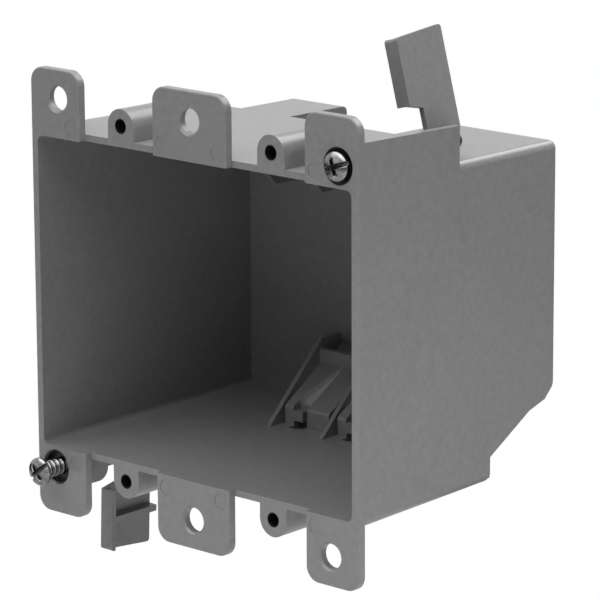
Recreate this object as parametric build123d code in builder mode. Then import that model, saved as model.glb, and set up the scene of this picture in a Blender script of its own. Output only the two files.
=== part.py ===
from build123d import *
import os

os.makedirs("parts", exist_ok=True)

# Two-gang drywall back box with two swing-out wall clamps. All sizes are millimetres.
# The origin is the middle of the opening in the front plane of the ears.
# X runs to the right seen from the front, Y runs into the wall and Z runs up.
# The moulding repeats itself after half a turn about Y, so one half of what stands on it is drawn.

# Device screw bosses, standard spacing of switches and outlets
device_pitch_x = 46.04
device_pitch_z = 83.34
boss_radius = 4.0
boss_length = 14.3
boss_taper = 0.6
boss_hole_diameter = 3.2
boss_hole_depth = 11.5
boss_above_opening = 4.82

# Shell of the moulding
box_depth = 70.9
opening_width = 96.2
opening_corner_radius = 1.5
opening_edge = 0.3
side_wall_front = 1.8
top_wall_front = 1.55
side_wall_rear = 2.3
top_wall_rear = 1.9
back_wall = 2.2
shell_edge_radius = 1.9
rear_edge_radius = 1.5
side_draft = 0.0284
top_draft = 0.0142

# Front rims and ears
rim_overhang = 0.2
rim_setback = 1.85
ear_thickness = 2.0
ear_rise = 14.4
corner_ear_width = 15.6
centre_ear_width = 22.6
ear_corner_radius = 3.5
ear_edge_radius = 0.4
ear_hole_diameter = 5.8
ear_hole_edge = 0.5
ear_hole_from_tip = 6.8
ear_hole_from_side = 8.5
pin_mark_radius = 1.8
pin_mark_depth = 0.12
pin_mark_inset = 2.8
pin_mark_rise = 3.0

# Clamp screws
clamp_from_side = 5.65
clamp_rise = 3.4
screw_diameter = 4.1
screw_length = 39.7
screw_tip_chamfer = 0.6
head_diameter = 6.7
head_height = 1.8
head_dome_radius = 1.0
head_clearance = 0.4
guide_clearance = 0.08
recess_width = 0.95
recess_reach = 2.1
recess_depth = 1.3
slot_width = 0.8
slot_depth = 0.6
top_screw_out = 2.1
bottom_screw_out = 6.8

# Seats of the clamp screws and the stop fins beside them
seat_thickness = 2.8
seat_rise = 7.9
guard_offset = 4.85
guard_thickness = 1.5
guard_length = 10.3
guard_corner_radius = 3.0
fin_thickness = 1.7
fin_front_rise = 8.9
fin_rear_rise = 7.7
fin_length = 33.1

# Clamp wings, sizes from the screw axis outward and from the wing's front back
thread_clearance = 0.05
hub_wall = 0.85
hub_length = 8.2
top_wing_run = 24.55
bottom_wing_run = 21.55
wing_depth = 15.2
wing_corner_radius = 0.8
stem_setback = 4.3
wing_face = 1.7
wing_plate = 1.3
wing_flange_width = 3.7
wing_flange = 1.3
shoulder_front = 9.3
shoulder_rear = 8.4
tip_front = 24.4
tip_rear = 25.8
rib_low = 16.0
rib_thickness = 1.5
rib_inset = 0.1
top_wing_lean = -15.0
bottom_wing_lean = 2.2

# Cable clamps of the lower wall, which the upper wall repeats
cell_width = 15.5
divider = 1.2
centre_group_x = -17.4
corner_group_width = 19.2
divider_foot_y = 43.2
divider_foot_rise = 0.7
divider_top_y = 62.1
divider_top_rise = 19.0
foot_y = 47.9
foot_outer_y = 51.0
fold_wall = 1.3
knee_rise = 5.5
knee_radius = 1.1
root_y = 61.1
root_rise = 13.35
tail_y = 66.9
tail_rise = 14.95
tail_end_rise = 18.65
ridge_rise = 16.6
ridge_width = 2.0
ridge_edge_radius = 0.5
corner_foot_end = 5.0
corner_cut_inset = 0.7
side_cut_y = 46.6
side_cut_drop = 0.6
side_corner_radius = 2.2
slit = 0.8
flap_width = 5.6
flap_gap = 1.45
bite_width = 3.0
bite_length = 12.0
bite_drop = 0.9
foot_skin = 0.5
pry_hole_x = 3.6
pry_hole_width = 3.7
pry_hole_length = 2.0
pry_hole_rise = 1.1
pry_hole_depth = 1.1

# Sizes that follow from the ones above
device_x = device_pitch_x / 2
device_z = device_pitch_z / 2
opening_height = device_pitch_z - 2 * boss_above_opening
shell_height = opening_height + 2 * top_wall_front
shell_width = opening_width + 2 * side_wall_front
rim_width = shell_width + 2 * rim_overhang
clamp_x = shell_width / 2 - clamp_from_side
clamp_z = shell_height / 2 + clamp_rise
ear_reach = shell_height / 2 + ear_rise
ear_hole_x = rim_width / 2 - ear_hole_from_side
ear_hole_z = ear_reach - ear_hole_from_tip
seat_y = ear_thickness
seat_bore = head_diameter / 2 + head_clearance
guide_radius = screw_diameter / 2 + guide_clearance
hub_bore = screw_diameter / 2 + thread_clearance
hub_radius = hub_bore + hub_wall
top_head_y = seat_y - top_screw_out
bottom_head_y = seat_y - bottom_screw_out
shell_length = box_depth - rim_setback
rear_width = shell_width - 2 * side_draft * shell_length
rear_height = shell_height - 2 * top_draft * shell_length
cavity_end_y = box_depth - back_wall
cavity_rear_width = rear_width - 2 * side_wall_rear
cavity_rear_height = rear_height - 2 * top_wall_rear
floor_z = -opening_height / 2
below = -shell_height
half_turn = (0, 180, 0)


def facing(y):
    """Sketch plane parallel to the front, y behind the front plane of the ears."""
    return Plane.XZ.offset(-y)


def half_width(y):
    """Half the outer width of the drafted shell, y behind the front plane."""
    return shell_width / 2 - side_draft * (y - rim_setback)


def half_height(y):
    """Half the outer height of the drafted shell, y behind the front plane."""
    return shell_height / 2 - top_draft * (y - rim_setback)


# Outer form of the shell, drafted towards the rear
with BuildPart() as shell:
    with BuildSketch(facing(rim_setback)):
        RectangleRounded(shell_width, shell_height, shell_edge_radius)
    with BuildSketch(facing(box_depth)):
        RectangleRounded(rear_width, rear_height, shell_edge_radius)
    loft()
    fillet(shell.faces().sort_by(Axis.Y)[-1].edges(), rear_edge_radius)

# Hollow of the shell, straight through the front rim and drafted behind it
with BuildPart() as hollow:
    with BuildSketch(facing(seat_y)):
        RectangleRounded(opening_width, opening_height, opening_corner_radius)
    with BuildSketch(facing(cavity_end_y)):
        RectangleRounded(cavity_rear_width, cavity_rear_height, opening_corner_radius)
    loft()
    with BuildSketch(facing(0)):
        RectangleRounded(opening_width, opening_height, opening_corner_radius)
    extrude(amount=-seat_y)
    chamfer(hollow.edges().filter_by_position(Axis.Y, -0.01, 0.01), opening_edge)
    with BuildSketch(facing(opening_edge)):
        RectangleRounded(opening_width, opening_height, opening_corner_radius)
    extrude(amount=opening_edge + 1)

# Side rims and ears, with their front edges broken
ear_span = ear_reach - opening_height / 2 + 2 * ear_corner_radius
ear_middle = ear_reach - ear_span / 2
corner_ear_x = (rim_width - corner_ear_width) / 2
with BuildPart() as flange:
    with BuildSketch(facing(0)):
        Rectangle(rim_width, opening_height + 2 * top_wall_rear)
        Rectangle(opening_width - ear_thickness, opening_height + 2 * top_wall_rear, mode=Mode.SUBTRACT)
    extrude(amount=-ear_thickness)
    with BuildSketch(facing(0)):
        with Locations((0, ear_middle), (0, -ear_middle)):
            RectangleRounded(centre_ear_width, ear_span, ear_corner_radius)
        with GridLocations(2 * corner_ear_x, 2 * ear_middle, 2, 2):
            RectangleRounded(corner_ear_width, ear_span, ear_corner_radius)
    extrude(amount=-ear_thickness)
    fillet(flange.edges().filter_by_position(Axis.Y, -0.01, 0.01), ear_edge_radius)

# Stop fin flush with the side wall, and the seat of the upper clamp screw with its guard rib
with BuildPart() as stop_fin:
    fin_low_z = shell_height / 2 - shell_edge_radius - top_wall_rear
    fin_front_z = shell_height / 2 + fin_front_rise
    fin_rear_z = shell_height / 2 + fin_rear_rise
    for y, top_z in ((ear_thickness / 2, fin_front_z), (rim_setback + fin_length, fin_rear_z)):
        with BuildSketch(facing(y)):
            with Locations((half_width(y) - fin_thickness / 2, (fin_low_z + top_z) / 2)):
                Rectangle(fin_thickness, top_z - fin_low_z)
    loft()

with BuildPart() as screw_seat:
    seat_low_z = shell_height / 2 - top_wall_rear
    seat_reach = shell_height / 2 + seat_rise
    seat_end_y = seat_y + guard_length
    guard_inner_x = clamp_x - guard_offset
    with BuildSketch(Plane.YZ.offset(guard_inner_x)):
        with Locations(((seat_y / 2 + seat_end_y) / 2, (seat_low_z + seat_reach) / 2)):
            Rectangle(seat_end_y - seat_y / 2, seat_reach - seat_low_z)
    extrude(amount=guard_thickness)
    guard_corner = screw_seat.edges().filter_by(Axis.X).group_by(Axis.Y)[-1].sort_by(Axis.Z)[-1]
    fillet(guard_corner, guard_corner_radius)
    seat_outer_x = half_width(seat_y + seat_thickness) - fin_thickness / 2
    with BuildSketch(facing(seat_y / 2)):
        with Locations(((guard_inner_x + seat_outer_x) / 2, (seat_low_z + seat_reach) / 2)):
            Rectangle(seat_outer_x - guard_inner_x, seat_reach - seat_low_z)
    extrude(amount=-(seat_y / 2 + seat_thickness))

# Device screw bosses, with their outer ends round
with BuildPart() as bosses:
    boss_low_z = shell_height / 2 - top_wall_rear
    with BuildSketch(facing(rim_setback)):
        with GridLocations(device_pitch_x, device_pitch_z, 2, 2):
            Circle(boss_radius)
        with GridLocations(device_pitch_x, device_z + boss_low_z, 2, 2):
            Rectangle(2 * boss_radius, device_z - boss_low_z)
    extrude(amount=-boss_length, taper=boss_taper)


# Cable clamps: a wall folded inwards behind the floor's edge, with two flaps in each cell
knee_z = floor_z + knee_rise
root_z = floor_z + root_rise
tail_z = floor_z + tail_rise
tail_end_z = floor_z + tail_end_rise
ridge_z = floor_z + ridge_rise
divider_foot_z = floor_z + divider_foot_rise
divider_top_z = floor_z + divider_top_rise


def fold_line(out):
    """Points of the folded wall, from its foot to its tail, moved outwards by out."""
    return [(foot_y + out, knee_z - out), (root_y, root_z - out), (tail_y, tail_z - out),
            (box_depth, tail_end_z - out)]


def under_fold(y):
    """Height of the folded wall's outer face between foot and root, y behind the front plane."""
    (start_y, start_z), (end_y, end_z) = fold_line(fold_wall)[:2]
    return start_z + (end_z - start_z) * (y - start_y) / (end_y - start_y)


centre_end_x = centre_group_x + 2 * (divider + cell_width)
corner_end_x = half_width(root_y) - side_wall_rear / 2
corner_group_x = shell_width / 2 - corner_group_width
first_cell_x = centre_group_x + divider
second_cell_x = first_cell_x + cell_width + divider
corner_cell_x = corner_group_x + divider
corner_foot_x = shell_width / 2 - corner_foot_end
foot_pocket_y = foot_outer_y - foot_skin

with BuildPart() as entries:
    for start, end, outer_y in ((first_cell_x, centre_end_x, foot_outer_y),
                                (corner_cell_x, corner_foot_x, foot_outer_y),
                                (corner_foot_x, half_width(rim_setback), foot_y + fold_wall)):
        with BuildSketch(Plane.YZ.offset(start)):
            Polygon((outer_y, below), (outer_y, under_fold(outer_y)), *fold_line(fold_wall)[1:],
                    (2 * box_depth, tail_end_z - fold_wall), (2 * box_depth, below), align=None)
        extrude(amount=end - start)
    # The same cut in the side wall, with the corners left beside it rounded
    with BuildSketch(Plane.YZ.offset(corner_end_x - corner_cut_inset)):
        side_knee, side_root, side_tail, side_end = [Vector(*p) for p in fold_line(side_cut_drop)]
        low_corner = Vector(side_cut_y, -half_height(side_cut_y - side_corner_radius))
        tail_way = (side_end - side_tail).normalized()
        tail_arc_start = side_end - tail_way * side_corner_radius
        tail_arc_end = side_end + Vector(0, side_corner_radius)
        with BuildLine():
            Polyline((side_cut_y - side_corner_radius, below), low_corner - Vector(side_corner_radius, 0))
            TangentArc(low_corner - Vector(side_corner_radius, 0), low_corner + Vector(0, side_corner_radius),
                       tangent=(1, 0))
            Polyline(low_corner + Vector(0, side_corner_radius), (side_cut_y, side_knee.Y),
                     side_root, side_tail, tail_arc_start)
            TangentArc(tail_arc_start, tail_arc_end, tangent=tail_way)
            Polyline(tail_arc_end, (2 * box_depth, tail_arc_end.Y), (2 * box_depth, below),
                     (side_cut_y - side_corner_radius, below))
        make_face()
    extrude(amount=shell_width)

with BuildPart() as cable_clamps:
    # Folded walls with the ridge that the flaps hinge from
    for start, end in ((centre_group_x, centre_end_x), (corner_group_x, corner_end_x)):
        with BuildSketch(Plane.YZ.offset(start)) as fold_side:
            Polygon((foot_y, below), *fold_line(0), (2 * box_depth, tail_end_z), (2 * box_depth, below),
                    align=None)
            with Locations((root_y + ridge_width / 2, (root_z + ridge_z) / 2)):
                Rectangle(ridge_width, ridge_z - root_z)
            fillet(fold_side.vertices().sort_by_distance(Vector(foot_y, knee_z))[0], knee_radius)
            ridge_top = fold_side.vertices().sort_by_distance(Vector(root_y + ridge_width / 2, ridge_z))[:2]
            fillet(ridge_top, ridge_edge_radius)
        extrude(amount=end - start)
    add(entries.part, mode=Mode.SUBTRACT)
    # Slits beside the flaps, the gap between them and the bite in the first one. They go through the
    # sloping wall, and in the foot below it they are pockets that leave a skin.
    for cell in (first_cell_x, second_cell_x, corner_cell_x):
        gaps = ((cell + slit / 2, slit), (cell + cell_width - slit / 2, slit),
                (cell + slit + flap_width + flap_gap / 2, flap_gap))
        for low_z, high_z, end_y in ((knee_z, ridge_z, root_y), (divider_foot_z, knee_z, foot_pocket_y)):
            with BuildSketch(Plane.XY.offset(low_z)):
                for gap_x, gap in gaps:
                    with Locations((gap_x, (foot_y + end_y) / 2)):
                        Rectangle(gap, end_y - foot_y)
            extrude(amount=high_z - low_z, mode=Mode.SUBTRACT)
        bite_end = cell + slit + flap_width
        bite_start = bite_end - bite_width
        with BuildSketch(Plane.XY.offset(knee_z)):
            Polygon((bite_end, root_y - flap_gap), (bite_start, root_y - bite_length * 3 / 4),
                    (bite_start, foot_y - slit), (bite_end, foot_y - slit), align=None)
        extrude(amount=ridge_z - knee_z, mode=Mode.SUBTRACT)
        with BuildSketch(Plane.XY.offset(knee_z - bite_drop)):
            with Locations(((bite_start + bite_end) / 2, (foot_y + foot_pocket_y) / 2)):
                Rectangle(bite_width, foot_pocket_y - foot_y)
        extrude(amount=bite_drop, mode=Mode.SUBTRACT)
    # Dividers beside each cell; the one inside a group stands on the folded wall only
    for start in (centre_group_x, centre_end_x, corner_group_x):
        with BuildSketch(Plane.YZ.offset(start)):
            Polygon((divider_foot_y, below), (divider_foot_y, divider_foot_z), (divider_top_y, divider_top_z),
                    (box_depth, divider_top_z), (box_depth, below), align=None)
        extrude(amount=divider)
    with BuildSketch(Plane.YZ.offset(second_cell_x - divider)):
        Polygon((divider_foot_y, floor_z - divider_foot_rise), (divider_foot_y, divider_foot_z),
                (divider_top_y, divider_top_z), (box_depth, divider_top_z), *reversed(fold_line(fold_wall / 2)),
                (foot_y + fold_wall / 2, floor_z - divider_foot_rise), align=None)
    extrude(amount=divider)
    add(shell.part, mode=Mode.INTERSECT)

# Pry hole at the foot of each pair of flaps, closed by a thin skin
with BuildPart() as pry_holes:
    pry_start_y = foot_y - pry_hole_length
    pry_middle_z = top_wall_rear - half_height(foot_y) + (pry_hole_rise - pry_hole_depth) / 2
    for cell in (first_cell_x, second_cell_x, corner_cell_x):
        with BuildSketch(Plane.YZ.offset(cell + pry_hole_x)):
            with Locations(((pry_start_y + foot_pocket_y) / 2, pry_middle_z)):
                Rectangle(foot_pocket_y - pry_start_y, pry_hole_rise + pry_hole_depth)
        extrude(amount=pry_hole_width)

# Whole moulding
with BuildPart() as box:
    add(shell.part)
    for turn in ((0, 0, 0), half_turn):
        add(stop_fin.part, rotation=turn)
        add(screw_seat.part, rotation=turn)
    add(bosses.part)
    add(flange.part)
    for turn in ((0, 0, 0), half_turn):
        add(entries.part, rotation=turn, mode=Mode.SUBTRACT)
    add(hollow.part, mode=Mode.SUBTRACT)
    for turn in ((0, 0, 0), half_turn):
        add(cable_clamps.part, rotation=turn)
    for turn in ((0, 0, 0), half_turn):
        add(pry_holes.part, rotation=turn, mode=Mode.SUBTRACT)
    # Screw holes of the ears
    with BuildSketch(facing(0)):
        with Locations((0, ear_hole_z), (0, -ear_hole_z), (-ear_hole_x, ear_hole_z), (ear_hole_x, -ear_hole_z)):
            Circle(ear_hole_diameter / 2)
    extrude(amount=-ear_thickness, mode=Mode.SUBTRACT)
    # Device screw holes, blind in the bosses
    with BuildSketch(facing(0)):
        with GridLocations(device_pitch_x, device_pitch_z, 2, 2):
            Circle(boss_hole_diameter / 2)
    extrude(amount=-(rim_setback + boss_hole_depth), mode=Mode.SUBTRACT)
    # Bores for the clamp screws' heads in the ears, and guides for their shanks in the seats
    with BuildSketch(facing(0)):
        with Locations((clamp_x, clamp_z), (-clamp_x, -clamp_z)):
            Circle(seat_bore)
    extrude(amount=-seat_y, mode=Mode.SUBTRACT)
    with BuildSketch(facing(0)):
        with Locations((clamp_x, clamp_z), (-clamp_x, -clamp_z)):
            Circle(guide_radius)
    extrude(amount=-(seat_y + seat_thickness), mode=Mode.SUBTRACT)
    # Broken front edges of the round holes
    ear_holes = box.edges().filter_by(GeomType.CIRCLE).filter_by_position(Axis.Y, -0.01, 0.01)
    chamfer(ear_holes.filter_by(lambda e: ear_hole_diameter / 2 - 0.1 < e.radius < seat_bore + 0.1), ear_hole_edge)
    # Marks of the ejector pins on the ears
    with BuildSketch(facing(0)):
        mark_z = opening_height / 2 + pin_mark_rise
        centre_mark_x = centre_ear_width / 2 - pin_mark_inset
        corner_mark_x = rim_width / 2 - corner_ear_width + pin_mark_inset
        with GridLocations(2 * corner_mark_x, 2 * mark_z, 2, 2):
            Circle(pin_mark_radius)
        with GridLocations(2 * centre_mark_x, 2 * mark_z, 2, 2):
            Circle(pin_mark_radius)
    extrude(amount=-pin_mark_depth, mode=Mode.SUBTRACT)
box.part.label = "box"
export_step(box.part, "parts/box.step")

# Clamp screw with the underside of its head at the origin, combined cross and slot recess
with BuildPart() as screw:
    dome_y = head_dome_radius - head_height
    dome_x = head_diameter / 2 - head_dome_radius
    with BuildSketch(Plane.XY):
        with BuildLine():
            Polyline((0, -head_height), (dome_x, -head_height))
            RadiusArc((dome_x, -head_height), (head_diameter / 2, dome_y), head_dome_radius)
            Polyline((head_diameter / 2, dome_y), (head_diameter / 2, 0), (screw_diameter / 2, 0),
                     (screw_diameter / 2, screw_length - screw_tip_chamfer),
                     (screw_diameter / 2 - screw_tip_chamfer, screw_length), (0, screw_length),
                     (0, -head_height))
        make_face()
    revolve(axis=Axis.Y)
    with BuildSketch(facing(-head_height)):
        Rectangle(2 * recess_reach, recess_width)
        Rectangle(recess_width, 2 * recess_reach)
    extrude(amount=-recess_depth, mode=Mode.SUBTRACT)
    with BuildSketch(facing(-head_height)):
        Rectangle(2 * head_diameter, slot_width)
    extrude(amount=-slot_depth, mode=Mode.SUBTRACT)

# Clamp wing upright on the screw axis with its front at the origin, plain face towards the stop fin
hub_end = stem_setback + hub_length
with BuildPart() as wing:
    with BuildSketch(Plane.YZ.offset(wing_face - wing_plate)) as plate_side:
        Polygon((stem_setback, 0), (stem_setback, shoulder_rear), (0, shoulder_front), (0, tip_front),
                (wing_depth, tip_rear), (wing_depth, hub_radius), (hub_end, 0), align=None)
        fillet(plate_side.vertices().sort_by(Axis.Y)[-2:], wing_corner_radius)
    extrude(amount=wing_plate)
    with BuildSketch(Plane.YZ.offset(wing_face - wing_flange_width)) as flange_side:
        with Locations((wing_flange / 2, (shoulder_front + tip_front) / 2)):
            Rectangle(wing_flange, tip_front - shoulder_front)
        fillet(flange_side.vertices().group_by(Axis.Y)[-1].sort_by(Axis.X)[0], wing_corner_radius)
    extrude(amount=wing_flange_width)
    with BuildSketch(Plane.XY.offset(rib_low)):
        with Locations((wing_face - wing_flange_width / 2 + rib_inset / 2, wing_depth / 2)):
            Rectangle(wing_flange_width - rib_inset, wing_depth)
    extrude(amount=rib_thickness)
    with BuildSketch(facing(stem_setback)):
        Circle(hub_radius)
    extrude(amount=-hub_length)
    with BuildSketch(facing(0)):
        Circle(hub_bore)
    extrude(amount=-2 * wing_depth, mode=Mode.SUBTRACT)

with BuildPart() as clamp_screw_top:
    with Locations(Location((clamp_x, top_head_y, clamp_z))):
        add(screw.part, rotation=(0, -20, 0))
clamp_screw_top.part.label = "clamp_screw_top"
export_step(clamp_screw_top.part, "parts/clamp_screw_top.step")

with BuildPart() as clamp_screw_bottom:
    with Locations(Location((-clamp_x, bottom_head_y, -clamp_z))):
        add(screw.part, rotation=(0, -40, 0))
clamp_screw_bottom.part.label = "clamp_screw_bottom"
export_step(clamp_screw_bottom.part, "parts/clamp_screw_bottom.step")

with BuildPart() as clamp_wing_top:
    with Locations(Location((clamp_x, top_head_y + top_wing_run, clamp_z))):
        add(wing.part, rotation=(0, top_wing_lean, 0))
clamp_wing_top.part.label = "clamp_wing_top"
export_step(clamp_wing_top.part, "parts/clamp_wing_top.step")

with BuildPart() as clamp_wing_bottom:
    with Locations(Location((-clamp_x, bottom_head_y + bottom_wing_run, -clamp_z))):
        add(wing.part, rotation=(0, 180 + bottom_wing_lean, 0))
clamp_wing_bottom.part.label = "clamp_wing_bottom"
export_step(clamp_wing_bottom.part, "parts/clamp_wing_bottom.step")
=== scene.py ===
import math

import bpy
import numpy as np
from mathutils import Matrix, Vector


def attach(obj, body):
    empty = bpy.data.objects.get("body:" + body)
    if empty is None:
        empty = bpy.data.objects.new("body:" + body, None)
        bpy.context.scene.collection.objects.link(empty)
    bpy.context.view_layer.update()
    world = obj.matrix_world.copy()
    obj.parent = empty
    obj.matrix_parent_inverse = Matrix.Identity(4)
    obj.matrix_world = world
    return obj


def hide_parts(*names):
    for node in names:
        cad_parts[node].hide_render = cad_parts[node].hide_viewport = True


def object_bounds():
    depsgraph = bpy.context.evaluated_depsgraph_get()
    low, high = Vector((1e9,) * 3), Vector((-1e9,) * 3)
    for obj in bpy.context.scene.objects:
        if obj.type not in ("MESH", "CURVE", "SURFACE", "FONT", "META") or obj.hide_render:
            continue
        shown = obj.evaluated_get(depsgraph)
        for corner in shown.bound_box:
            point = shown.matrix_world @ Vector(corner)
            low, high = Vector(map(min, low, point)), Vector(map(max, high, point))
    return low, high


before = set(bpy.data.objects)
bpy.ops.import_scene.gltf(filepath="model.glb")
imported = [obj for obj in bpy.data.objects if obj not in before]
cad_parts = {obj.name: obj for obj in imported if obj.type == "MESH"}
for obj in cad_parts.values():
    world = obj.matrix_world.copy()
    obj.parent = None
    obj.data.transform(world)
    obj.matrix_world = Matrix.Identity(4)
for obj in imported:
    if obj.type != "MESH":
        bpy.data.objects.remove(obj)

# Two-gang drywall back box. Lengths are metres in the part's own frame:
# X to the right seen from the front, Y into the wall, Z up.
MM = 0.001
cad_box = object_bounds()

# Camera, as it stood for the photograph
AZIMUTH = 42.295
ELEVATION = 13.578
ROLL = -0.290
DISTANCE = 879.27 * MM
TARGET = (0.0, 40.26 * MM, 0.0)
SLIDE_RIGHT = -2.58 * MM
SLIDE_UP = -1.87 * MM
SENSOR = 36.0
LENS = 228.05
NEAREST = 0.01
FARTHEST = 20.0

# Light, as in a light tent: a wide soft top, a strip behind that lights the rounded edges, weaker lamps
# in front, and patches of the table in front and on the right that bounce light up. Each row has a name,
# a place, a width, a height and a power in watts.
LAMPS = (("tent_top", (0.05, 0.0, 1.1), 2.0, 2.0, 28.0),
         ("rear_strip", (0.20, 0.80, 0.67), 0.95, 0.2, 4.0),
         ("front_top", (0.1, -0.75, 0.95), 0.7, 0.7, 1.9),
         ("front_left", (-0.55, -0.55, 0.8), 0.6, 0.6, 1.7),
         ("front_right", (0.5, -0.6, 0.8), 0.6, 0.6, 0.5))
BOUNCES = (("front_bounce", (0.08, -0.16), 0.45, 0.45, 0.43),
           ("side_bounce", (0.30, 0.06), 0.45, 0.45, 0.25))
ROOM_LIGHT = 0.0
BACKDROP_GLOSS = 0.83
TABLE_GLOSS = 0.0
TABLE_SIZE = 3.0
TABLE_GAP = 2 * MM
TABLE_GREY = 0.5
PART_MIDDLE = (0, 40 * MM, 0)

# Moulded plastic: colours and gloss of the box and the wings, strength of the mottling, how fast its
# clouds, specks and grains change per metre, their shares, and the grains' height
BOX_GREY = (0.20, 0.20, 0.20)
BOX_ROUGHNESS = 0.31
WING_GREY = (0.185, 0.185, 0.185)
WING_ROUGHNESS = 0.32
PLASTIC_IOR = 1.49
MOTTLE = 0.16
CLOUD_RATE = 38.0
SPECK_RATE = 620.0
GRAIN_RATE = 2200.0
CLOUD_SHARE = 0.5
SPECK_SHARE = 2.2
GLOSS_SHARE = 0.05
GRAIN_HEIGHT = 0.02 * MM
GRAIN_STRENGTH = 0.6

# Holes whose insides get painted shade, a darker colour standing in for the shade in them: X and Z of the
# axis, radius, depth and whether all four quarters have it
HOLES = ((23.02 * MM, 41.67 * MM, 1.75 * MM, 40 * MM, True),
         (44.25 * MM, 41.80 * MM, 4.3 * MM, 4 * MM, False))
HOLE_SHADE_START = 0.12 * MM
HOLE_SHADE = 0.94

# Zinc plate: how fast its spangle changes per metre, its two greys and their places on the ramp, its
# range of roughness, and the depth of cut from which painted shade in the cuts leaves only a share of the
# colour
SPANGLE_RATE = 900.0
ZINC_GREYS = ((0.3, (0.18, 0.18, 0.19, 1)),
              (0.7, (0.38, 0.38, 0.39, 1)))
ZINC_ROUGHNESS = (0.16, 0.34)
RECESS_SHADE_FULL_DEPTH = 0.6
RECESS_SHADE_COLOUR_LEFT = 0.3

# Clamp screws; the heads' radius, the shanks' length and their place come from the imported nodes
HEAD_HEIGHT = 1.8 * MM
CROWN = 1.3 * MM
HEAD_LIFT = 0.03 * MM
RIM_HEIGHT = 0.12 * MM
RIM_CHAMFER = 0.1 * MM
RECESS_FLOOR = 0.05 * MM
SHANK_RADIUS = 2.05 * MM
THREAD_PITCH = 1.41 * MM
THREAD_DEPTH = 0.5 * MM
THREAD_STEEPNESS = 1.25
THREAD_CREST = 0.12
TIP_CHAMFER = 0.6 * MM
TIP_RINGS = (0.5, 0.01)
CROSS_REACH = 2.2 * MM
CROSS_WIDTH = 1.0 * MM
CROSS_DEPTH = 0.95 * MM
SLOT_WIDTH = 0.8 * MM
SLOT_DEPTH = 0.75 * MM
RECESS_EDGE = 0.35 * MM
TOP_RECESS_TURN = math.radians(-20)
BOTTOM_RECESS_TURN = math.radians(-40)

# Rings of the screws' meshes: shares of the head's radius where the first ring lies and where the even
# rings end, then counts
HEAD_FIRST = 0.004
HEAD_EVEN = 0.9
HEAD_COLUMNS = 216
HEAD_ROWS = 84
HEAD_EDGE_ROWS = 16
SHANK_COLUMNS = 36
ROWS_PER_PITCH = 16


def aim_camera():
    """Places the camera by azimuth, elevation and roll about the target."""
    a = math.radians(AZIMUTH)
    e = math.radians(ELEVATION)
    r = math.radians(ROLL)
    back = Vector((math.sin(a) * math.cos(e), -math.cos(a) * math.cos(e), math.sin(e)))
    right = (-back).cross(Vector((0, 0, 1))).normalized()
    up = right.cross(-back)
    tilted_right = math.cos(r) * right + math.sin(r) * up
    tilted_up = -math.sin(r) * right + math.cos(r) * up
    place = Vector(TARGET) + back * DISTANCE + tilted_right * SLIDE_RIGHT + tilted_up * SLIDE_UP
    data = bpy.data.cameras.new("camera")
    data.sensor_width = SENSOR
    data.lens = LENS
    data.clip_start = NEAREST
    data.clip_end = FARTHEST
    camera = bpy.data.objects.new("camera", data)
    turn = Matrix((tilted_right, tilted_up, back)).transposed().to_4x4()
    camera.matrix_world = Matrix.Translation(place) @ turn
    bpy.context.scene.collection.objects.link(camera)
    bpy.context.scene.camera = camera


def new_material(name):
    """Empty node material; returns it with its node tree and an output node."""
    material = bpy.data.materials.new(name)
    material.use_nodes = True
    tree = material.node_tree
    tree.nodes.clear()
    output = tree.nodes.new("ShaderNodeOutputMaterial")
    return material, tree, output


def group_socket(group, name, direction, kind):
    """Named socket on a node group."""
    group.interface.new_socket(name=name, in_out=direction, socket_type=f"NodeSocket{kind}")


def noise_texture(nodes, links, where, detail):
    """Noise on object coordinates."""
    noise = nodes.new("ShaderNodeTexNoise")
    noise.inputs["Detail"].default_value = detail
    links.new(where.outputs["Object"], noise.inputs["Vector"])
    return noise


def scaled_colour(tree, colour, factor):
    """Colour times a factor, both given as sockets."""
    scale = tree.nodes.new("ShaderNodeVectorMath")
    scale.operation = "SCALE"
    tree.links.new(colour, scale.inputs[0])
    tree.links.new(factor, scale.inputs["Scale"])
    return scale.outputs["Vector"]


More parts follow.
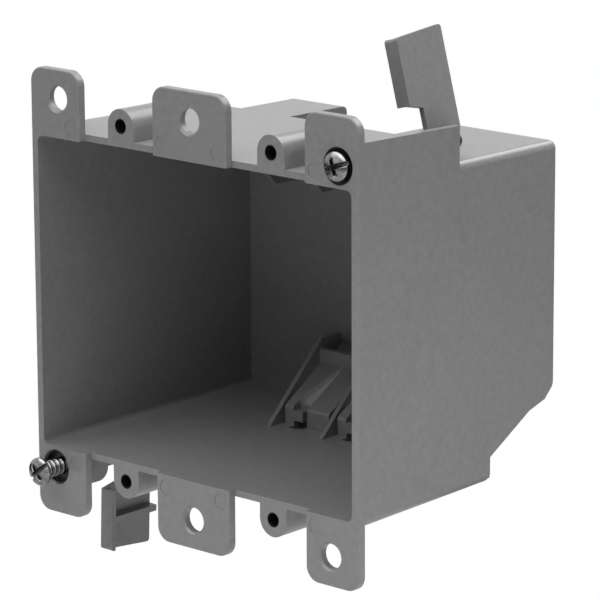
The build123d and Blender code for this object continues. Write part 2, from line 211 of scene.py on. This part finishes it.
def moulded_skin_group():
    """Fine spark-eroded grain, faint clouds and specks of a moulded surface.

    Outputs a colour, a roughness and a height in metres.
    """
    group = bpy.data.node_groups.new("moulded_skin", "ShaderNodeTree")
    group_socket(group, "Colour", "INPUT", "Color")
    for name in ("Mottle", "Roughness", "Grain Rate", "Grain Height"):
        group_socket(group, name, "INPUT", "Float")
    group_socket(group, "Colour", "OUTPUT", "Color")
    group_socket(group, "Roughness", "OUTPUT", "Float")
    group_socket(group, "Height", "OUTPUT", "Float")
    nodes, links = group.nodes, group.links
    given = nodes.new("NodeGroupInput")
    result = nodes.new("NodeGroupOutput")
    where = nodes.new("ShaderNodeTexCoord")

    grain = noise_texture(nodes, links, where, detail=3.0)
    grain.inputs["Roughness"].default_value = 0.6
    links.new(given.outputs["Grain Rate"], grain.inputs["Scale"])
    clouds = noise_texture(nodes, links, where, detail=4.0)
    clouds.inputs["Scale"].default_value = CLOUD_RATE
    specks = noise_texture(nodes, links, where, detail=2.0)
    specks.inputs["Scale"].default_value = SPECK_RATE

    def centred(source, gain):
        """Value around zero: (source - 0.5) times gain."""
        node = nodes.new("ShaderNodeMath")
        node.operation = "MULTIPLY_ADD"
        node.inputs[1].default_value = gain
        node.inputs[2].default_value = -0.5 * gain
        links.new(source, node.inputs[0])
        return node.outputs[0]

    both = nodes.new("ShaderNodeMath")
    both.operation = "ADD"
    links.new(centred(clouds.outputs["Fac"], CLOUD_SHARE), both.inputs[0])
    links.new(centred(specks.outputs["Fac"], SPECK_SHARE), both.inputs[1])
    factor = nodes.new("ShaderNodeMath")
    factor.operation = "MULTIPLY_ADD"
    factor.inputs[2].default_value = 1.0
    links.new(both.outputs[0], factor.inputs[0])
    links.new(given.outputs["Mottle"], factor.inputs[1])
    links.new(scaled_colour(group, given.outputs["Colour"], factor.outputs[0]), result.inputs["Colour"])

    rough = nodes.new("ShaderNodeMath")
    rough.operation = "ADD"
    rough.use_clamp = True
    links.new(given.outputs["Roughness"], rough.inputs[0])
    links.new(centred(clouds.outputs["Fac"], GLOSS_SHARE), rough.inputs[1])
    links.new(rough.outputs[0], result.inputs["Roughness"])

    height = nodes.new("ShaderNodeMath")
    height.operation = "MULTIPLY"
    links.new(grain.outputs["Fac"], height.inputs[0])
    links.new(given.outputs["Grain Height"], height.inputs[1])
    links.new(height.outputs[0], result.inputs["Height"])
    return group


def painted_hole_shade_group():
    """Mask of the painted shade in the insides of the screw holes, 1 less HOLE_SHADE in them and 1
    elsewhere.

    A point is inside where its X and Z, both without their signs, lie within the hole's radius of its axis
    and its Y lies between the front face and the hole's depth. The seats of the clamp screws count on
    their own diagonal only.
    """
    group = bpy.data.node_groups.new("painted_hole_shade", "ShaderNodeTree")
    group_socket(group, "Clear", "OUTPUT", "Float")
    nodes, links = group.nodes, group.links
    result = nodes.new("NodeGroupOutput")
    where = nodes.new("ShaderNodeTexCoord")
    split = nodes.new("ShaderNodeSeparateXYZ")
    links.new(where.outputs["Object"], split.inputs[0])

    def step(operation, first, second=None):
        """Math node on two sources, each a socket or a number."""
        node = nodes.new("ShaderNodeMath")
        node.operation = operation
        for socket, source in zip(node.inputs, (first, second)):
            if isinstance(source, (int, float)):
                socket.default_value = source
            elif source is not None:
                links.new(source, socket)
        return node.outputs[0]

    across, behind, up = split.outputs
    diagonal = step("GREATER_THAN", step("MULTIPLY", across, up), 0.0)
    deep = step("GREATER_THAN", behind, HOLE_SHADE_START)
    shade = None
    for hole_x, hole_z, radius, depth, all_quarters in HOLES:
        off_x = step("SUBTRACT", step("ABSOLUTE", across), hole_x)
        off_z = step("SUBTRACT", step("ABSOLUTE", up), hole_z)
        squares = step("ADD", step("MULTIPLY", off_x, off_x), step("MULTIPLY", off_z, off_z))
        inside = step("MULTIPLY", step("LESS_THAN", squares, radius * radius), deep)
        inside = step("MULTIPLY", inside, step("LESS_THAN", behind, depth))
        if not all_quarters:
            inside = step("MULTIPLY", inside, diagonal)
        shade = inside if shade is None else step("MAXIMUM", shade, inside)
    links.new(step("SUBTRACT", 1.0, step("MULTIPLY", shade, HOLE_SHADE)), result.inputs["Clear"])
    return group


def moulded_plastic(name, skin, colour, roughness, holes=None):
    """Grey moulded plastic with the shared skin, its own colour and gloss, and painted shade in the holes
    if given.
    """
    material, tree, output = new_material(name)
    shader = tree.nodes.new("ShaderNodeBsdfPrincipled")
    shader.inputs["IOR"].default_value = PLASTIC_IOR
    use = tree.nodes.new("ShaderNodeGroup")
    use.node_tree = skin
    use.inputs["Colour"].default_value = (*colour, 1)
    use.inputs["Mottle"].default_value = MOTTLE
    use.inputs["Roughness"].default_value = roughness
    use.inputs["Grain Rate"].default_value = GRAIN_RATE
    use.inputs["Grain Height"].default_value = GRAIN_HEIGHT
    bump = tree.nodes.new("ShaderNodeBump")
    bump.inputs["Distance"].default_value = 1.0
    bump.inputs["Strength"].default_value = GRAIN_STRENGTH
    tree.links.new(use.outputs["Height"], bump.inputs["Height"])
    tree.links.new(bump.outputs["Normal"], shader.inputs["Normal"])
    tint = use.outputs["Colour"]
    # Painted shade: the colour is darkened inside the holes by the mask
    if holes:
        clear = tree.nodes.new("ShaderNodeGroup")
        clear.node_tree = holes
        tint = scaled_colour(tree, tint, clear.outputs["Clear"])
    tree.links.new(tint, shader.inputs["Base Color"])
    tree.links.new(use.outputs["Roughness"], shader.inputs["Roughness"])
    tree.links.new(shader.outputs["BSDF"], output.inputs["Surface"])
    return material


def plated_steel(name):
    """Zinc plate: metal with a fine spangle, with painted shade where the mesh attribute "groove" says a
    cut is deep.
    """
    material, tree, output = new_material(name)
    shader = tree.nodes.new("ShaderNodeBsdfPrincipled")
    shader.inputs["Metallic"].default_value = 1.0
    where = tree.nodes.new("ShaderNodeTexCoord")
    spangle = noise_texture(tree.nodes, tree.links, where, detail=4.0)
    spangle.inputs["Scale"].default_value = SPANGLE_RATE
    colour = tree.nodes.new("ShaderNodeValToRGB")
    for stop, (position, grey) in zip(colour.color_ramp.elements, ZINC_GREYS):
        stop.position = position
        stop.color = grey
    tree.links.new(spangle.outputs["Fac"], colour.inputs["Fac"])
    rough = tree.nodes.new("ShaderNodeMapRange")
    rough.inputs["To Min"].default_value, rough.inputs["To Max"].default_value = ZINC_ROUGHNESS
    tree.links.new(spangle.outputs["Fac"], rough.inputs["Value"])
    # Painted shade: the colour darkens with the depth of the cuts in the head and of the thread's valleys,
    # standing in for the shade in them
    groove_depth = tree.nodes.new("ShaderNodeAttribute")
    groove_depth.attribute_name = "groove"
    recess_shade = tree.nodes.new("ShaderNodeMapRange")
    recess_shade.inputs["From Max"].default_value = RECESS_SHADE_FULL_DEPTH
    recess_shade.inputs["To Min"].default_value = 1.0
    recess_shade.inputs["To Max"].default_value = RECESS_SHADE_COLOUR_LEFT
    tree.links.new(groove_depth.outputs["Fac"], recess_shade.inputs["Value"])
    tint = scaled_colour(tree, colour.outputs["Color"], recess_shade.outputs["Result"])
    tree.links.new(tint, shader.inputs["Base Color"])
    tree.links.new(rough.outputs["Result"], shader.inputs["Roughness"])
    tree.links.new(shader.outputs["BSDF"], output.inputs["Surface"])
    return material


def ring_mesh(name, x, y, z, depth):
    """Smooth mesh of a surface given as three arrays, rows by columns, with each row a closed ring.

    A fourth array, the depth of the cuts from 0 to 1, becomes the attribute "groove".
    """
    rows, columns = x.shape
    points = np.stack([x, y, z], axis=-1).reshape(-1, 3)
    index = np.arange(rows * columns).reshape(rows, columns)
    following = np.roll(index, -1, axis=1)
    quads = np.stack([index[:-1], index[1:], following[1:], following[:-1]], axis=-1).reshape(-1, 4)
    mesh = bpy.data.meshes.new(name)
    mesh.from_pydata(points.tolist(), [], quads.tolist())
    mesh.update()
    mesh.shade_smooth()
    groove_depth = mesh.attributes.new("groove", "FLOAT", "POINT")
    groove_depth.data.foreach_set("value", depth.ravel().astype(np.float32))
    return mesh


def groove(along, across, reach, width, depth):
    """Depth of a straight groove through the middle of the head: full inside reach and width, and
    falling to nothing over RECESS_EDGE at its sides and over a third of the reach at its ends."""
    side = np.clip((width / 2 - np.abs(across)) / RECESS_EDGE + 0.5, 0, 1)
    end = np.clip((reach - np.abs(along)) / (reach / 3), 0, 1)
    return depth * side * side * (3 - 2 * side) * end


def screw_head(radius, turn):
    """Domed head seen from its front, as rings from the middle out and then back to the shank.

    The rings are even up to HEAD_EVEN and close up from there to the rim as a sine does. The crown is
    an elliptical arc, HEAD_HEIGHT in the middle and CROWN less at the rim. The cross and the slot,
    turned by turn, are cut into that height.
    """
    even = np.linspace(HEAD_FIRST, HEAD_EVEN, HEAD_ROWS)
    edge = HEAD_EVEN + (1 - HEAD_EVEN) * np.sin(np.linspace(0, np.pi / 2, HEAD_EDGE_ROWS))
    share = np.concatenate([even, edge[1:]])
    angle = np.arange(HEAD_COLUMNS) * 2 * np.pi / HEAD_COLUMNS
    r = (radius * share)[:, None] * np.ones(HEAD_COLUMNS)
    side, up = r * np.cos(angle), r * np.sin(angle)
    crown = HEAD_HEIGHT - CROWN * (1 - np.sqrt(1 - (r / radius) ** 2))
    along = side * np.cos(turn) - up * np.sin(turn)
    across = side * np.sin(turn) + up * np.cos(turn)
    cross = np.maximum(groove(along, across, CROSS_REACH, CROSS_WIDTH, CROSS_DEPTH),
                       groove(across, along, CROSS_REACH, CROSS_WIDTH, CROSS_DEPTH))
    past_the_rim = 9 * radius
    cut = np.maximum(cross, groove(along, across, past_the_rim, SLOT_WIDTH, SLOT_DEPTH))
    x, y, z = side, -np.maximum(crown - cut, RECESS_FLOOR), up
    rim = np.array([[radius, -RIM_HEIGHT],
                    [radius - RIM_CHAMFER, -HEAD_LIFT],
                    [SHANK_RADIUS - THREAD_DEPTH, -HEAD_LIFT]])
    x = np.vstack([x, rim[:, :1] * np.cos(angle)])
    z = np.vstack([z, rim[:, :1] * np.sin(angle)])
    y = np.vstack([y, rim[:, 1:] * np.ones(HEAD_COLUMNS)])
    depth = np.vstack([cut / CROSS_DEPTH, np.zeros((len(rim), HEAD_COLUMNS))])
    return x, y, z, depth


def threaded_shank(length):
    """Shank with a helical thread, as rings along its length from the head to the tip's face.

    The radius is SHANK_RADIUS less THREAD_DEPTH times a V with a flat crest and a flat root, whose phase
    is the length in pitches less the angle in turns; it shrinks over TIP_CHAMFER at the tip, and the
    face's rings lie at the shares TIP_RINGS of the last radius.
    """
    rows = int(round(length / THREAD_PITCH * ROWS_PER_PITCH))
    angle = np.arange(SHANK_COLUMNS) * 2 * np.pi / SHANK_COLUMNS
    y = np.linspace(0, length, rows)[:, None] * np.ones(SHANK_COLUMNS)
    phase = y / THREAD_PITCH - angle / (2 * np.pi)
    valley = np.clip(THREAD_STEEPNESS * (1 - np.abs(2 * (phase % 1) - 1)) - THREAD_CREST, 0, 1)
    r = SHANK_RADIUS - THREAD_DEPTH * valley
    r = np.minimum(r, SHANK_RADIUS - np.clip(y - (length - TIP_CHAMFER), 0, None))
    r = np.vstack([r, r[-1] * np.array(TIP_RINGS)[:, None]])
    y = np.vstack([y, y[-1:], y[-1:]])
    depth = np.vstack([valley, np.zeros((len(TIP_RINGS), SHANK_COLUMNS))])
    return r * np.cos(angle), y, r * np.sin(angle), depth


def make_screw(node, body, turn):
    """Screw with a cut recess and a helical thread in place of a packed clamp screw."""
    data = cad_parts[node].data
    points = np.empty(3 * len(data.vertices))
    data.vertices.foreach_get("co", points)
    low, high = points.reshape(-1, 3).min(axis=0), points.reshape(-1, 3).max(axis=0)
    place = np.array([(low[0] + high[0]) / 2, low[1] + HEAD_HEIGHT, (low[2] + high[2]) / 2])
    radius = (high[0] - low[0]) / 2
    length = high[1] - place[1]
    for part, surface in (("head", screw_head(radius, turn)), ("thread", threaded_shank(length))):
        x, y, z, depth = surface
        mesh = ring_mesh(f"{node}_{part}", x + place[0], y + place[1], z + place[2], depth)
        mesh.materials.append(screw_steel)
        piece = bpy.data.objects.new(f"{node}_{part}", mesh)
        bpy.context.scene.collection.objects.link(piece)
        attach(piece, body)
        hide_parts(node)


def dress(node, material):
    """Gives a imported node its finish."""
    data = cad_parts[node].data
    data.materials.clear()
    data.materials.append(material)


def area_light(name, place, aim, width, height, power):
    """Soft rectangular lamp at place, facing aim."""
    data = bpy.data.lights.new(name, "AREA")
    data.shape = "RECTANGLE"
    data.size = width
    data.size_y = height
    data.energy = power
    lamp = bpy.data.objects.new(name, data)
    turn = (Vector(aim) - Vector(place)).to_track_quat("-Z", "Y")
    lamp.matrix_world = Matrix.Translation(Vector(place)) @ turn.to_matrix().to_4x4()
    lamp.visible_camera = False
    bpy.context.scene.collection.objects.link(lamp)


def white_when_seen(tree, output, kind, lit, gloss):
    """Plain white to camera and transmission rays, white of strength gloss to glossy rays, and the lit
    shader to all others."""
    light_path = tree.nodes.new("ShaderNodeLightPath")
    seen = tree.nodes.new("ShaderNodeMath")
    seen.operation = "MAXIMUM"
    tree.links.new(light_path.outputs["Is Camera Ray"], seen.inputs[0])
    tree.links.new(light_path.outputs["Is Transmission Ray"], seen.inputs[1])
    shown = lit
    for chosen, strength in ((light_path.outputs["Is Glossy Ray"], gloss), (seen.outputs[0], 1.0)):
        white = tree.nodes.new(kind)
        white.inputs["Color"].default_value = (1, 1, 1, 1)
        white.inputs["Strength"].default_value = strength
        mix = tree.nodes.new("ShaderNodeMixShader")
        tree.links.new(chosen, mix.inputs["Fac"])
        tree.links.new(shown.outputs[0], mix.inputs[1])
        tree.links.new(white.outputs[0], mix.inputs[2])
        shown = mix
    tree.links.new(shown.outputs[0], output.inputs["Surface"])


def set_stage():
    """White backdrop, grey table and soft lamps: strong from above, weaker from behind and in front."""
    scene = bpy.context.scene
    scene.view_settings.view_transform = "Standard"
    world = bpy.data.worlds.new("studio")
    world.use_nodes = True
    scene.world = world
    tree = world.node_tree
    tree.nodes.clear()
    output = tree.nodes.new("ShaderNodeOutputWorld")
    lit = tree.nodes.new("ShaderNodeBackground")
    lit.inputs["Color"].default_value = (1, 1, 1, 1)
    lit.inputs["Strength"].default_value = ROOM_LIGHT
    white_when_seen(tree, output, "ShaderNodeBackground", lit, BACKDROP_GLOSS)

    half = TABLE_SIZE / 2
    drop = cad_box[0][2] - TABLE_GAP
    mesh = bpy.data.meshes.new("table")
    corners = [(-half, -half, drop), (half, -half, drop), (half, half, drop), (-half, half, drop)]
    mesh.from_pydata(corners, [], [(0, 1, 2, 3)])
    table = bpy.data.objects.new("table", mesh)
    scene.collection.objects.link(table)
    material, tree, output = new_material("table_top")
    lit = tree.nodes.new("ShaderNodeBsdfDiffuse")
    lit.inputs["Color"].default_value = (TABLE_GREY, TABLE_GREY, TABLE_GREY, 1)
    white_when_seen(tree, output, "ShaderNodeEmission", lit, TABLE_GLOSS)
    mesh.materials.append(material)

    for name, place, *size_and_power in LAMPS:
        area_light(name, place, PART_MIDDLE, *size_and_power)
    just_above = drop + TABLE_GAP / 4
    for name, (x, y), *size_and_power in BOUNCES:
        area_light(name, (x, y, just_above), (x, y, 1), *size_and_power)


aim_camera()
set_stage()
skin = moulded_skin_group()
box_plastic = moulded_plastic("box_plastic", skin, BOX_GREY, BOX_ROUGHNESS, painted_hole_shade_group())
wing_plastic = moulded_plastic("wing_plastic", skin, WING_GREY, WING_ROUGHNESS)
screw_steel = plated_steel("screw_steel")
dress("box", box_plastic)
dress("clamp_wing_top", wing_plastic)
dress("clamp_wing_bottom", wing_plastic)
dress("clamp_screw_top", screw_steel)
dress("clamp_screw_bottom", screw_steel)
make_screw("clamp_screw_top", "screw_top", TOP_RECESS_TURN)
make_screw("clamp_screw_bottom", "screw_bottom", BOTTOM_RECESS_TURN)
